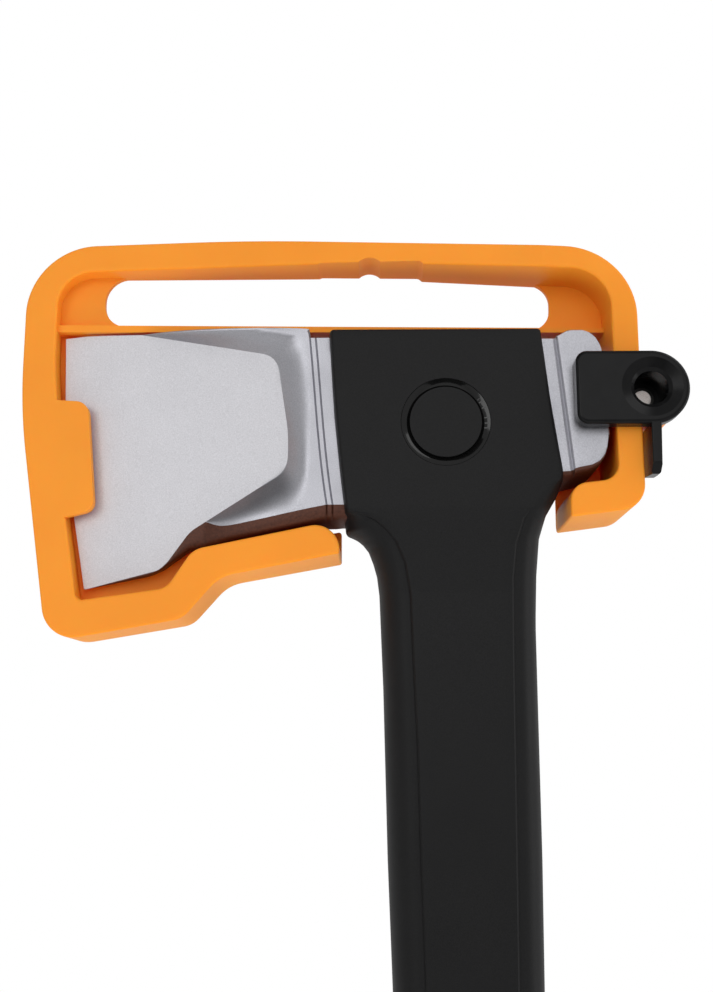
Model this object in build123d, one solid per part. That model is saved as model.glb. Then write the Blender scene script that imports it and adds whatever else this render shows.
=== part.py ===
from build123d import *
import math
import os

# Felling axe in its carry sheath, hung by the sheath's handle.  Millimetres.
# Origin: top of the hanging notch, in the middle plane of the axe.
# +X points from the cutting edge to the poll, +Z up, -Y to the side with the lock.

# ---- driving dimensions: head ------------------------------------------------
EDGE_HALF = 0.2            # half thickness at the cutting edge
BEVEL_END_X = -30.5        # the flat bevel ends here
BEVEL_HALF = 7.3
NECK_LEFT_X = -20.5        # neck between bevel and collar
NECK_HALF = 12.6
INSERT_HALF = 9.5          # steel inside the moulded collar
INSERT_X = (-8.0, 55.0)
KEY_HOLES_X = (10.0, 38.0) # holes in the insert that the moulding fills
KEY_HOLE_R = 7.0
KEY_HOLE_Z = -60.0
POLL_NECK_HALF = 14.6
POLL_STEP_X = 67.5
POLL_HALF = 16.2

# ---- driving dimensions: handle ----------------------------------------------
COLLAR_HALF = 17.0
COLLAR_TOP_Z = -27.5
COLLAR_ROUND = 1.0
# (z, front x, rear x, half thickness) of the shoulders under the collar
SHOULDER = [
    (-80.0, -7.4, 64.0, COLLAR_HALF),
    (-88.0, -7.2, 61.2, 16.8),
    (-96.5, -6.8, 58.9, 16.4),
    (-99.7, -2.8, 58.2, 16.2),
    (-104.0, 0.2, 57.6, 15.8),
    (-110.0, 2.0, 57.2, 15.4),
]
CAVITY_TOP_Z = -150.0
WALL = 4.5
# the same of the shaft's outside
SHAFT = [
    (-118.0, 3.2, 56.9, 15.0),
    (-150.0, 4.4, 56.4, 15.0),
    (-205.0, 5.6, 56.4, 14.8),
    (-300.0, 9.0, 55.4, 14.3),
    (-420.0, 12.6, 53.2, 13.8),
    (-545.0, 14.4, 51.8, 13.6),
    (-640.0, 13.6, 52.2, 14.0),
    (-695.0, 9.0, 53.6, 14.6),
    (-738.0, 1.5, 56.0, 15.2),
]
GRIP_TOP = 5               # the soft grip starts at this row of SHAFT
GRIP_THICK = 2.4
BADGE_X = 25.9
BADGE_Z = -60.5
BADGE_R = (12.2, 15.3)
BADGE_GROOVE = 1.8
BADGE_THICK = 1.2
CAP_FLANGE = 7.0
CAP_PLUG = 16.0
CAP_CLEAR = 0.3

# ---- driving dimensions: sheath ----------------------------------------------
WEDGE_HALF_0 = 13.3        # the sheath's front stands this far out at x = 0
WEDGE_SLOPE = 0.0735
WEDGE_FLAT_X = 60.0        # parallel from here to the right wall
SHEATH_HALF = WEDGE_HALF_0 + WEDGE_SLOPE * WEDGE_FLAT_X
WEB_Y = (1.0, 3.0)         # front and back of the web that fills the frame round the slot
SHELF_FRONT_Y = -2.5
BAR_BACK_X = (-101.0, 69.0)    # between these the carry bar goes no further back than the web
BAR_FLARE = 17.0               # past them its back slopes out to the sheath's back
TAB_X = -103.0             # the tab before the edge is placed by the taper here
TAB_PROUD = 3.0            # how far it stands in front of the taper
TAB_DEEP = 2.8             # and behind it
POLL_REST_GAP = 0.3
NECK_REST_GAP = 0.4
SIDE_REACH = 130.0         # past the sheath's left and right ends
NOTCH_R = 5.4
RELIEF_TOP_Z = (-1.3, -1.8)
RELIEF_X = (-19.2, 19.6)
EDGE_ROUND = 0.8

# ---- driving dimensions: lock ------------------------------------------------
PIVOT = (94.8, -50.2)      # x, z of the lock's axis
BOSS_R = 12.7
PLATE_Y = (-23.5, -18.0)   # front and back of the lock's plate
PLATE_ROUND = 1.4
FIN_ROUND = 0.6
FIN_X = (93.8, 97.4)
FIN_FOOT_Z = -79.5
FIN_BACK_Y = -9.5
FIN_BEVEL = 3.3            # slope at the front of the fin's foot
TONGUE_X = 69.5
HUB_R = 7.5
HUB_BOTTOM_Y = -5.0
HUB_FLOOR = 1.5
RUN_CLEAR = 0.06
EYE_R = 5.8                # hole through the lock's hub
FUNNEL_R = (10.3, 7.0)     # shallow dish round the hole, and its steeper throat
FUNNEL_DEPTH = (1.2, 1.0)
EAR_R = 11.8
EAR_FLOOR_Y = (-4.8, 3.0)
EAR_BACK_R = 9.0
LUG_R = 9.3                # stop lug on the hub
LUG_CENTRE = 135.0         # its angle on the closed lock, from -X towards -Z
LUG_DEPTH = 2.4
LUG_HALF_ANGLE = 14.0
LUG_GAP_ANGLE = 2.0
LUG_CLEAR = (0.25, 0.4)    # round the lug's track and under it
LOCK_TRAVEL = 90.0
RIVET_R = (2.9, 3.4)       # inner and outer radius of the hollow rivet
RIVET_HEAD_R = (4.0, 5.1)  # at the front and at the back
RIVET_HEAD = 0.5
WASHER_R = 6.4
WASHER_THICK = 1.0

FIT_GAP = 0.02             # between pieces that are fitted to each other
FAR = 200.0                # past the end of anything that a cutter goes through


def xz(x, z):
    """A point of the middle plane from its place in the side view."""
    return Vector(x, 0.0, z)


def rounded_face(corners):
    """Face in the side view from (x, z, radius) corners joined by straight lines."""
    edges = []
    count = len(corners)
    spans = []
    for i, (x, z, radius) in enumerate(corners):
        here = xz(x, z)
        before = xz(*corners[i - 1][:2])
        after = xz(*corners[(i + 1) % count][:2])
        into = (here - before).normalized()
        away = (after - here).normalized()
        if radius <= 0:
            spans.append((here, None, here))
            continue
        turn = math.radians(into.get_angle(away))
        reach = radius * math.tan(turn / 2)
        start = here - into * reach
        end = here + away * reach
        inward = (away - into).normalized()
        centre = here + inward * (radius / math.cos(turn / 2))
        spans.append((start, centre - inward * radius, end))
    for i, (start, middle, end) in enumerate(spans):
        if middle is not None:
            edges.append(ThreePointArc(start, middle, end))
        next_start = spans[(i + 1) % count][0]
        if (next_start - end).length > 1e-6:
            edges.append(Line(end, next_start))
    return make_face(edges)


def slab(face, y_from, y_to):
    """Side-view face made solid between two depths."""
    moved = Pos(0, y_to, 0) * face
    return extrude(moved, amount=y_to - y_from, dir=(0, -1, 0))


def rod(x, z, radius, y_from, y_to):
    """Round bar along Y."""
    middle = (y_from + y_to) / 2
    return Pos(x, middle, z) * Rot(90, 0, 0) * Cylinder(radius, y_to - y_from)


def cone(x, z, front_radius, back_radius, y_from, y_to):
    """Round taper along Y, front_radius at y_from."""
    middle = (y_from + y_to) / 2
    taper = Cone(back_radius, front_radius, y_to - y_from)
    return Pos(x, middle, z) * Rot(90, 0, 0) * taper


def plan_prism(points, z_from, z_to):
    """Prism along Z over a plan-view outline of (x, y) points."""
    face = make_face(Polyline(*[(x, y, z_from) for x, y in points], close=True))
    return extrude(face, amount=z_to - z_from, dir=(0, 0, 1))


def sector(radius, centre_angle, half_angle, y_from, y_to):
    """Pie slice about the lock's axis; angles turn with the lock from -X."""
    steps = [centre_angle - half_angle, centre_angle, centre_angle + half_angle]
    far = [lock_point(radius, angle) for angle in steps]
    hub = xz(*PIVOT)
    arc = ThreePointArc(*far)
    face = make_face([Line(hub, far[0]), arc, Line(far[2], hub)])
    return slab(face, y_from, y_to)


def lock_point(radius, angle):
    """Point at a radius and an angle about the lock's axis, from -X towards -Z."""
    turn = math.radians(angle)
    x = PIVOT[0] - radius * math.cos(turn)
    z = PIVOT[1] - radius * math.sin(turn)
    return xz(x, z)


def cheek_edges(solid, ridge_x=None):
    """Edges round the faces that look along Y, without the ridge at ridge_x."""
    edges = ShapeList()
    for face in solid.faces():
        if abs(face.normal_at().Y) > 0.9:
            edges += face.edges()
    if ridge_x is None:
        return edges
    return edges.filter_by(lambda e: max(abs(v.X - ridge_x) for v in e.vertices()) > 0.01)


def mirrored(half):
    """Closed plan outline from its half with positive y."""
    return half + [(x, -y) for x, y in reversed(half)]


# ---- steel head --------------------------------------------------------------
def head_outline():
    edge = ThreePointArc(xz(-98.9, -115.6), xz(-106.9, -68.0), xz(-109.3, -25.0))
    rest = Polyline(
        xz(-109.3, -25.0), xz(-99.0, -24.2), xz(-80.0, -24.1), xz(-24.5, -25.3),
        xz(-20.8, -28.6), xz(INSERT_X[0], -28.8), xz(INSERT_X[0], -33.0),
        xz(INSERT_X[1], -33.0), xz(INSERT_X[1], -28.6), xz(65.0, -28.6),
        xz(68.2, -26.9), xz(73.8, -26.9), xz(78.4, -29.4), xz(80.4, -33.4),
        xz(81.5, -63.0), xz(81.5, -70.0), xz(79.5, -75.6), xz(75.0, -79.0),
        xz(64.0, -79.6), xz(INSERT_X[1], -78.0), xz(INSERT_X[1], -72.0),
        xz(INSERT_X[0], -84.0), xz(INSERT_X[0], -92.6), xz(-21.0, -94.8),
        xz(-54.0, -101.0), xz(-62.0, -102.4), xz(-71.5, -109.6), xz(-76.5, -111.3),
        xz(-98.9, -115.6),
    )
    return make_face([edge, rest])


def head_plan():
    """Half thickness along X, from the edge to the poll."""
    return mirrored([
        (-112.0, EDGE_HALF), (-108.0, EDGE_HALF), (BEVEL_END_X, BEVEL_HALF),
        (BEVEL_END_X + 1.5, BEVEL_HALF), (-25.5, 9.0), (-22.8, 11.2),
        (NECK_LEFT_X, NECK_HALF), (INSERT_X[0], NECK_HALF),
        (INSERT_X[0], INSERT_HALF), (INSERT_X[1], INSERT_HALF),
        (INSERT_X[1], POLL_NECK_HALF), (POLL_STEP_X - 0.8, POLL_NECK_HALF),
        (POLL_STEP_X + 0.8, POLL_HALF), (79.5, POLL_HALF), (81.5, POLL_HALF - 2.0),
    ])


def make_head():
    blank = slab(head_outline(), -FAR, FAR)
    head = blank & plan_prism(head_plan(), -FAR, 0)
    for x in KEY_HOLES_X:
        head -= rod(x, KEY_HOLE_Z, KEY_HOLE_R, -COLLAR_HALF, COLLAR_HALF)
    return head


# ---- handle ------------------------------------------------------------------
def shaft_section(row, inset=0.0):
    """Oval with flat cheeks at one height of the shaft."""
    z, front, rear, half = row
    front += inset
    rear -= inset
    half -= inset
    flank = 9.0 - inset * 0.4
    front_flat = front + flank
    rear_flat = rear - flank
    outline = [
        Line((front_flat, -half, z), (rear_flat, -half, z)),
        ThreePointArc((rear_flat, -half, z), (rear, 0, z), (rear_flat, half, z)),
        Line((rear_flat, half, z), (front_flat, half, z)),
        ThreePointArc((front_flat, half, z), (front, 0, z), (front_flat, -half, z)),
    ]
    return make_face(outline)


def shaft_row(z):
    """Shaft size at any height, read between the listed rows."""
    for upper, lower in zip(SHAFT, SHAFT[1:]):
        if lower[0] <= z <= upper[0]:
            part = (upper[0] - z) / (upper[0] - lower[0])
            return tuple(a + (b - a) * part for a, b in zip(upper, lower))
    return SHAFT[-1]


def shaft_loft(rows, inset=0.0, ruled=False):
    return loft([shaft_section(row, inset) for row in rows], ruled=ruled)


def collar_solid():
    """Block round the head's neck, with rounded edges."""
    outline = rounded_face([
        (-14.0, COLLAR_TOP_Z, 0.8), (59.4, COLLAR_TOP_Z, 0.8), (65.2, -81.5, 1.0),
        (50.0, -85.0, 0.0), (8.0, -95.0, 0.0), (-8.6, -97.5, 1.5),
    ])
    block = slab(outline, -COLLAR_HALF, COLLAR_HALF)
    return fillet(cheek_edges(block), COLLAR_ROUND)


def badge_groove(side):
    """Ring-shaped groove in one cheek of the collar; side is -1 or 1."""
    depths = sorted((side * (COLLAR_HALF - BADGE_GROOVE), side * (COLLAR_HALF + 1.0)))
    return (rod(BADGE_X, BADGE_Z, BADGE_R[1], *depths)
            - rod(BADGE_X, BADGE_Z, BADGE_R[0], *depths))


def make_badge(side):
    """Ring laid in the groove, lower than the cheek round it."""
    bottom = side * (COLLAR_HALF - BADGE_GROOVE)
    depths = sorted((bottom, bottom + side * BADGE_THICK))
    return (rod(BADGE_X, BADGE_Z, BADGE_R[1] - FIT_GAP, *depths)
            - rod(BADGE_X, BADGE_Z, BADGE_R[0] + FIT_GAP, *depths))


def make_handle(head):
    grip_top_z = SHAFT[GRIP_TOP][0]
    shoulder = shaft_loft(SHOULDER + SHAFT[:1], ruled=True)
    upper = shaft_loft(SHAFT[:GRIP_TOP + 1])
    core = shaft_loft(SHAFT[GRIP_TOP:], GRIP_THICK)
    handle = collar_solid() + shoulder + upper + core
    cavity_rows = [shaft_row(z) for z in (CAVITY_TOP_Z, -300.0, -420.0, grip_top_z)]
    cavity_rows += SHAFT[GRIP_TOP + 1:]
    handle -= shaft_loft(cavity_rows, WALL + GRIP_THICK)
    for side in (-1, 1):
        handle -= badge_groove(side)
    return handle - head


def make_grip():
    rows = SHAFT[GRIP_TOP:]
    return shaft_loft(rows) - shaft_loft(rows, GRIP_THICK)


def make_cap():
    """Cap under the handle's end, with a plug up its hollow."""
    last = SHAFT[-1]
    foot = (last[0] - CAP_FLANGE, last[1] + 1.5, last[2] - 1.5, last[3] - 1.5)
    flange = loft([shaft_section(last), shaft_section(foot)])
    top = shaft_row(last[0] + CAP_PLUG)
    plug_inset = WALL + GRIP_THICK + CAP_CLEAR
    plug = loft([shaft_section(top, plug_inset + 0.2), shaft_section(last, plug_inset)])
    return flange + plug


# ---- sheath ------------------------------------------------------------------
OUTER = [
    (-10.2, -104.8, 1.0), (-50.8, -112.2, 14.0), (-63.3, -126.4, 9.0),
    (-110.2, -134.2, 11.5), (-123.2, -51.6, 200.0), (-123.2, 8.2, 25.0),
    (-42.0, 8.2, 800.0), (92.2, 1.0, 25.5), (92.2, -90.2, 9.0), (67.2, -93.5, 0.8),
]
INNER = [
    (67.3, -82.3, 6.0), (83.7, -80.4, 6.0), (83.2, -6.6, 14.0), (-2.5, -1.7, 500.0),
    (-111.6, -1.8, 12.0), (-111.6, -36.0, 120.0), (-105.7, -88.0, 120.0),
    (-100.3, -119.9, 2.5), (-69.1, -115.9, 7.0), (-60.3, -102.8, 8.0),
    (-10.2, -93.2, 8.5),
]
# the carry slot's top is the frame's inside
SLOT = [
    (-95.8, -1.7, 9.0), (-1.0, -1.0, 500.0), (64.8, -5.2, 7.8), (64.6, -22.6, 7.8),
    (-14.0, -21.8, 300.0), (-95.8, -20.0, 8.0),
]
TAB = [
    (-113.0, -48.9, 0.0), (-98.9, -50.0, 5.0), (-95.2, -88.6, 4.0),
    (-105.0, -91.0, 0.0), (-113.0, -91.0, 0.0),
]
# rail behind the cutting edge, from the pocket's roof round to the lower arm
RAIL = [
    (-113.0, -22.0, 0.0), (-103.5, -22.0, 0.0), (-101.0, -70.0, 60.0), (-93.5, -107.5, 4.0),
    (-77.0, -103.5, 6.0), (-66.0, -90.0, 6.0), (-57.0, -93.0, 2.0), (-57.0, -104.0, 0.0),
    (-67.5, -118.5, 0.0), (-102.0, -123.0, 0.0), (-107.5, -88.0, 0.0),
]
RAIL_LIFT = 2.2            # the rail's face stands in from the front's taper, mirrored
RAIL_THICK = 3.0
SHELF_TOP_Z = (-20.6, -22.8)       # top of the shelf at its left and right end
SHELF_UNDER_Z = (-23.2, -24.4)
SHELF_X = (-113.0, 85.0)           # inside the frame's left and right walls
WEB_TOP_Z = -0.5
WEB_FOOT_Z = (-23.4, -24.0)        # its foot is inside the shelf


def wedge():
    """The sheath's thickness: a flat back, and a front that follows the head's taper."""
    left, right = -SIDE_REACH, SIDE_REACH
    front_at_left = WEDGE_HALF_0 + WEDGE_SLOPE * left
    return plan_prism([
        (left, -front_at_left), (WEDGE_FLAT_X, -SHEATH_HALF), (right, -SHEATH_HALF),
        (right, SHEATH_HALF), (left, SHEATH_HALF),
    ], -FAR, FAR)


def rail():
    """Rail behind the blade, with a face that follows the blade's taper."""
    left, right = -SIDE_REACH, 0.0
    face_at_left = WEDGE_HALF_0 + WEDGE_SLOPE * left - RAIL_LIFT
    face_at_right = WEDGE_HALF_0 - RAIL_LIFT
    block = plan_prism([
        (left, face_at_left), (right, face_at_right), (right, face_at_right + RAIL_THICK),
        (left, face_at_left + RAIL_THICK),
    ], -FAR, FAR)
    return slab(rounded_face(RAIL), 0, SHEATH_HALF) & block


def shelf():
    """Roof of the head's pocket, under the carry slot."""
    face = make_face(Polyline(
        xz(SHELF_X[0], SHELF_TOP_Z[0]), xz(SHELF_X[1], SHELF_TOP_Z[1]),
        xz(SHELF_X[1], SHELF_UNDER_Z[1]), xz(SHELF_X[0], SHELF_UNDER_Z[0]),
        close=True,
    ))
    return slab(face, SHELF_FRONT_Y, SHEATH_HALF)


def tabs():
    """What keeps the head in: a tab before the edge, and a rail and two rests behind the head."""
    taper = WEDGE_HALF_0 + WEDGE_SLOPE * TAB_X
    front = slab(rounded_face(TAB), -taper - TAB_PROUD, -taper + TAB_DEEP)
    poll_stop = rounded_face([
        (67.2, -92.5, 0.8), (67.2, -34.0, 3.0), (85.0, -34.0, 0), (85.0, -90.5, 0),
    ])
    result = front + rail() + slab(poll_stop, POLL_HALF + POLL_REST_GAP, SHEATH_HALF)
    arm_stop = rounded_face([
        (-10.2, -104.5, 0.8), (-10.2, -93.5, 1.0), (-28.0, -96.8, 2.0), (-34.0, -104.0, 0),
    ])
    rest_y = NECK_HALF + NECK_REST_GAP
    return result + slab(arm_stop, rest_y, rest_y + RAIL_THICK)


def notch():
    """Relief and round notch under the middle of the carry handle."""
    left, right = RELIEF_X
    relief = rounded_face([
        (left, -6.0, 0), (left, -2.4, 0), (left + 1.8, RELIEF_TOP_Z[0], 2),
        (right - 1.8, RELIEF_TOP_Z[1], 2), (right, -3.4, 0), (right, -6.0, 0),
    ])
    return slab(relief, -FAR, FAR) + rod(0, -NOTCH_R, NOTCH_R, -FAR, FAR)


def ear_cuts():
    """Seat for the lock's hub and stop lug, the rivet's hole and its back recess."""
    x, z = PIVOT
    front = -SHEATH_HALF - 1.0
    seat = rod(x, z, HUB_R + RUN_CLEAR, front, EAR_FLOOR_Y[0])
    hole = rod(x, z, RIVET_R[1] + FIT_GAP, front, EAR_FLOOR_Y[1] + 1.0)
    back = rod(x, z, EAR_BACK_R, EAR_FLOOR_Y[1], SHEATH_HALF + 1.0)
    sweep = LOCK_TRAVEL / 2 + LUG_HALF_ANGLE + LUG_GAP_ANGLE
    lug_bottom = PLATE_Y[1] + LUG_DEPTH + LUG_CLEAR[1]
    track = sector(LUG_R + LUG_CLEAR[0], LUG_CENTRE + LOCK_TRAVEL / 2, sweep, front, lug_bottom)
    return seat + hole + back + track


def behind_bar():
    """What is cut away above the shelf, behind the carry bar, with sloping ends."""
    left, right = BAR_BACK_X
    above_shelf = make_face(Polyline(
        xz(SHELF_X[0], SHELF_TOP_Z[0]), xz(SHELF_X[1], SHELF_TOP_Z[1]), xz(FAR, SHELF_TOP_Z[1]),
        xz(FAR, FAR), xz(-FAR, FAR), xz(-FAR, SHELF_TOP_Z[0]), close=True,
    ))
    plan = plan_prism([
        (left, WEB_Y[1]), (right, WEB_Y[1]), (right + BAR_FLARE, SHEATH_HALF + 1.0),
        (left - BAR_FLARE, SHEATH_HALF + 1.0),
    ], -FAR, FAR)
    return slab(above_shelf, 0, FAR) & plan


def make_sheath():
    body_wedge = wedge()
    outline = rounded_face(OUTER)
    frame = slab(rounded_face(OUTER + INNER), -FAR, FAR) & body_wedge
    frame = fillet(cheek_edges(frame, WEDGE_FLAT_X), EDGE_ROUND)
    left, right = SHELF_X
    web_band = make_face(Polyline(
        xz(left, WEB_FOOT_Z[0]), xz(left, WEB_TOP_Z), xz(right, WEB_TOP_Z), xz(right, WEB_FOOT_Z[1]),
        close=True,
    ))
    web = slab(outline & web_band, *WEB_Y)
    inside = (web - slab(rounded_face(SLOT), -FAR, FAR) + shelf() + tabs()) & body_wedge
    ear = rod(*PIVOT, EAR_R, -SHEATH_HALF, SHEATH_HALF)
    ear = fillet(cheek_edges(ear), EDGE_ROUND)
    sheath = frame + inside + ear
    sheath -= behind_bar()
    sheath -= notch()
    return sheath - ear_cuts()


# ---- lock --------------------------------------------------------------------
def make_fin():
    """Thumb fin under the lock's boss."""
    x, z = PIVOT
    front = PLATE_Y[0] + 0.3
    root = z - BOSS_R + 1.5
    outline = rounded_face([
        (FIN_X[0], root, 0), (FIN_X[1], root, 0), (FIN_X[1] - 0.5, FIN_FOOT_Z, 0.8),
        (FIN_X[0], FIN_FOOT_Z, 0.8),
    ])
    side = make_face(Polyline(
        (0, front, root), (0, front, FIN_FOOT_Z + FIN_BEVEL), (0, front + FIN_BEVEL, FIN_FOOT_Z),
        (0, FIN_BACK_Y, FIN_FOOT_Z + 0.8), (0, FIN_BACK_Y, root), close=True,
    ))
    blade = slab(outline, front, FIN_BACK_Y) & extrude(side, amount=FAR, dir=(1, 0, 0))
    blade = fillet(blade.faces().sort_by(Axis.Y)[0].edges(), FIN_ROUND)
    return blade - rod(x, z, BOSS_R - 0.1, PLATE_Y[1], 0)


def make_lock():
    x, z = PIVOT
    front, back = PLATE_Y
    tongue = rounded_face([
        (TONGUE_X, z - BOSS_R, 3.8), (x, z - BOSS_R, 0), (x, z + BOSS_R, 0),
        (TONGUE_X, z + BOSS_R, 3.8),
    ])
    plate = slab(tongue, front, back) + rod(x, z, BOSS_R, front, back)
    plate = fillet(plate.faces().sort_by(Axis.Y)[0].edges(), PLATE_ROUND)
    hub = rod(x, z, HUB_R, back, HUB_BOTTOM_Y)
    lug = sector(LUG_R, LUG_CENTRE, LUG_HALF_ANGLE, back - 0.5, back + LUG_DEPTH)
    lock = plate + hub + lug + make_fin()
    throat = front + FUNNEL_DEPTH[0]
    lock -= cone(x, z, *FUNNEL_R, front, throat)
    lock -= cone(x, z, FUNNEL_R[1], EYE_R, throat, throat + FUNNEL_DEPTH[1])
    lock -= rod(x, z, EYE_R, front, HUB_BOTTOM_Y - HUB_FLOOR)
    lock -= rod(x, z, RIVET_R[1] + RUN_CLEAR, front, 0)
    return lock


def make_rivet():
    """Hollow rivet: the pivot of the lock, and the eye for a nail or a cord."""
    x, z = PIVOT
    front = HUB_BOTTOM_Y - HUB_FLOOR - 0.1
    back = EAR_FLOOR_Y[1] + WASHER_THICK + 2 * FIT_GAP
    tube = rod(x, z, RIVET_R[1], front - RIVET_HEAD, back + RIVET_HEAD)
    tube += rod(x, z, RIVET_HEAD_R[0], front - RIVET_HEAD, front)
    tube += rod(x, z, RIVET_HEAD_R[1], back, back + RIVET_HEAD)
    return tube - rod(x, z, RIVET_R[0], front - 2.0, back + 2.0)


def make_washer():
    x, z = PIVOT
    start = EAR_FLOOR_Y[1] + FIT_GAP
    disc = rod(x, z, WASHER_R, start, start + WASHER_THICK)
    return disc - rod(x, z, RIVET_R[1] + 0.05, start - 1.0, start + 3.0)


def main():
    os.makedirs("parts", exist_ok=True)
    head = make_head()
    nodes = {
        "axe_head": head,
        "handle_shell": make_handle(head),
        "badge_ring_front": make_badge(-1),
        "badge_ring_back": make_badge(1),
        "grip_sleeve": make_grip(),
        "end_cap": make_cap(),
        "sheath_body": make_sheath(),
        "lock_lever": make_lock(),
        "lock_rivet": make_rivet(),
        "lock_washer": make_washer(),
    }
    for name, shape in nodes.items():
        export_step(shape, f"parts/{name}.step")


main()
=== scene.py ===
import math

import bmesh
import bpy
import numpy as np
from mathutils import Matrix, Vector


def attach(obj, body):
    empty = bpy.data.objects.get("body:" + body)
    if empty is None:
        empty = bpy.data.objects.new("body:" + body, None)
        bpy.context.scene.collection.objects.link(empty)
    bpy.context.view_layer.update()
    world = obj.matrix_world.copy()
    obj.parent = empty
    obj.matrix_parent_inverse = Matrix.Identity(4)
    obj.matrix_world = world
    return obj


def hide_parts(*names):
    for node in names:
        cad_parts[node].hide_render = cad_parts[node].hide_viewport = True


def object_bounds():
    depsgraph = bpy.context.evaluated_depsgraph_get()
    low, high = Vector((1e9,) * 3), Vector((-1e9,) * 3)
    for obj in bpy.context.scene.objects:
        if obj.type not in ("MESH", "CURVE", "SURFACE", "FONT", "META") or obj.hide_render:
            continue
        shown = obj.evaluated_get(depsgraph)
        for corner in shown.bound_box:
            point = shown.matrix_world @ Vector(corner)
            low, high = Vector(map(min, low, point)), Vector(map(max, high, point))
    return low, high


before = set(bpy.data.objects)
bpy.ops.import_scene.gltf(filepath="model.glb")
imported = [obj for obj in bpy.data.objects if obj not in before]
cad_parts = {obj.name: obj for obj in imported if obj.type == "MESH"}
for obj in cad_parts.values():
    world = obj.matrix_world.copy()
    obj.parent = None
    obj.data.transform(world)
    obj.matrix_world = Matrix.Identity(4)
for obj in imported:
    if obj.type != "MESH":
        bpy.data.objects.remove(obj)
cad_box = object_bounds()

# Lengths below are in millimetres, in the frame's axes, and MM turns them into metres.
# x runs from the cutting edge to the poll, z is up, and the side with the lock looks along -y.
MM = 0.001

# ---- steel head ----------------------------------------------------------------
TOE = (-109.3, -25.0)
HEEL = (-98.9, -115.6)
EDGE_MIDDLE = (-106.9, -68.0)
BEVEL_SLOPE = 0.0915           # half thickness gained for each millimetre from the edge
# corners (x, z, radius) of the line where the flat bevel ends, from the top round to the heel
BEVEL_LINE = [
    (-81.5, -24.5, 0), (-32.6, -33.9, 8), (-28.2, -62.0, 60), (-28.4, -74.9, 9),
    (-62.2, -96.0, 12), (-71.6, -108.9, 6), (*HEEL, 0),
]
BEVEL_STEPS = (46, 36, 40, 50) # steps along its top, its right side, its slope and its lower edge
TOP_LINE = [(-81.5, -24.5), (-60.0, -24.8), (-24.2, -25.7), (-21.7, -26.9), (-20.7, -29.2)]
LOWER_LINE = [(-14.6, -88.2), (-21.3, -89.5), (-37.5, -92.8), (-50.0, -94.5)]
KEEL_BLADE = [(*HEEL, 0), (-77.5, -111.2, 8), (-71.5, -108.8, 4), (-62.5, -102.2, 6), (-58.5, -101.6, 0)]
KEEL_NECK = [(-58.5, -101.6), (-37.0, -97.8), (-21.0, -94.7), (-14.95, -93.6)]
SCOOP_REACH = 14.5             # the climb from the bevel to the neck ends within this of the bevel
ACROSS_BEVEL = 34
ACROSS_SCOOP = 26
ACROSS_KEEL = 10
KEEL_POWER = 0.5               # below 1 squares the blade's lower corner
ACROSS_TOP = 5
NECK_HALF = 12.6
NECK_TOP = (-20.7, -29.2)      # the first groove's ends
NECK_FOOT = (-14.6, -88.2)
NECK_BOW = 0.9
GROOVE_DEPTH = 0.45
GROOVE_HALF = 0.35
GROOVE_GAP = 2.0
INSERT = (-8.0, 55.0)
INSERT_HALF = 9.5
POLL_NECK_HALF = 14.6
POLL_HALF = 16.2
POLL_ROUND = 1.5


def spread(line, count):
    """count + 1 points, evenly spaced along a polyline."""
    line = np.array(line, float)
    steps = np.linalg.norm(np.diff(line, axis=0), axis=1)
    along = np.concatenate([[0.0], np.cumsum(steps)])
    wanted = np.linspace(0.0, along[-1], count + 1)
    return np.stack([np.interp(wanted, along, line[:, k]) for k in range(line.shape[1])], axis=1)


def rounded(corners, arc_steps=10):
    """Polyline through (x, z, radius) corners with an arc in each corner."""
    points = []
    for i, (x, z, radius) in enumerate(corners):
        here = Vector((x, z))
        if radius <= 0:
            points.append(here)
            continue
        into = (here - Vector(corners[i - 1][:2])).normalized()
        away = (Vector(corners[i + 1][:2]) - here).normalized()
        turn = into.angle(away)
        reach = radius * math.tan(turn / 2)
        start = here - into * reach
        end = here + away * reach
        for k in range(arc_steps + 1):
            t = k / arc_steps
            points.append((1 - t) ** 2 * start + 2 * t * (1 - t) * here + t * t * end)
    return np.array([tuple(p) for p in points])


def through(points, count, fine=16):
    """count + 1 points, evenly spaced along a smooth curve through points."""
    p = np.array(points, float)
    p = np.vstack([2 * p[0] - p[1], p, 2 * p[-1] - p[-2]])
    t = np.linspace(0.0, 1.0, fine, endpoint=False)[:, None]
    runs = []
    for a, b, c, d in zip(p, p[1:], p[2:], p[3:]):
        cubic = (2 * b + (c - a) * t + (2 * a - 5 * b + 4 * c - d) * t ** 2
                 + (3 * b - a - 3 * c + d) * t ** 3)
        runs.append(cubic / 2)
    return spread(np.vstack(runs + [p[-2:-1]]), count)


def grid(quads, rows, finish=0):
    """Adds a grid of points, given as rows of (x, y, z), to a list of (quad, material index)."""
    rows = np.array(rows)
    for a, b in zip(rows, rows[1:]):
        for k in range(len(a) - 1):
            quads.append(((a[k], a[k + 1], b[k + 1], b[k]), finish))


def solid(name, quads, weld=0.004, sharp=32):
    """Closed mesh from the quads of its front half, y <= 0, and their mirror image."""
    mesh = bmesh.new()
    for quad, finish in quads:
        for side in (1, -1):
            corners = [mesh.verts.new((x * MM, side * y * MM, z * MM)) for x, y, z in quad]
            mesh.faces.new(corners if side == 1 else corners[::-1]).material_index = finish
    bmesh.ops.remove_doubles(mesh, verts=mesh.verts, dist=weld * MM)
    bmesh.ops.dissolve_degenerate(mesh, edges=mesh.edges, dist=weld * MM)
    bmesh.ops.recalc_face_normals(mesh, faces=mesh.faces)
    data = bpy.data.meshes.new(name)
    mesh.to_mesh(data)
    mesh.free()
    data.shade_smooth()
    data.set_sharp_from_angle(angle=math.radians(sharp))
    piece = bpy.data.objects.new(name, data)
    bpy.context.scene.collection.objects.link(piece)
    return piece


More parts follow.
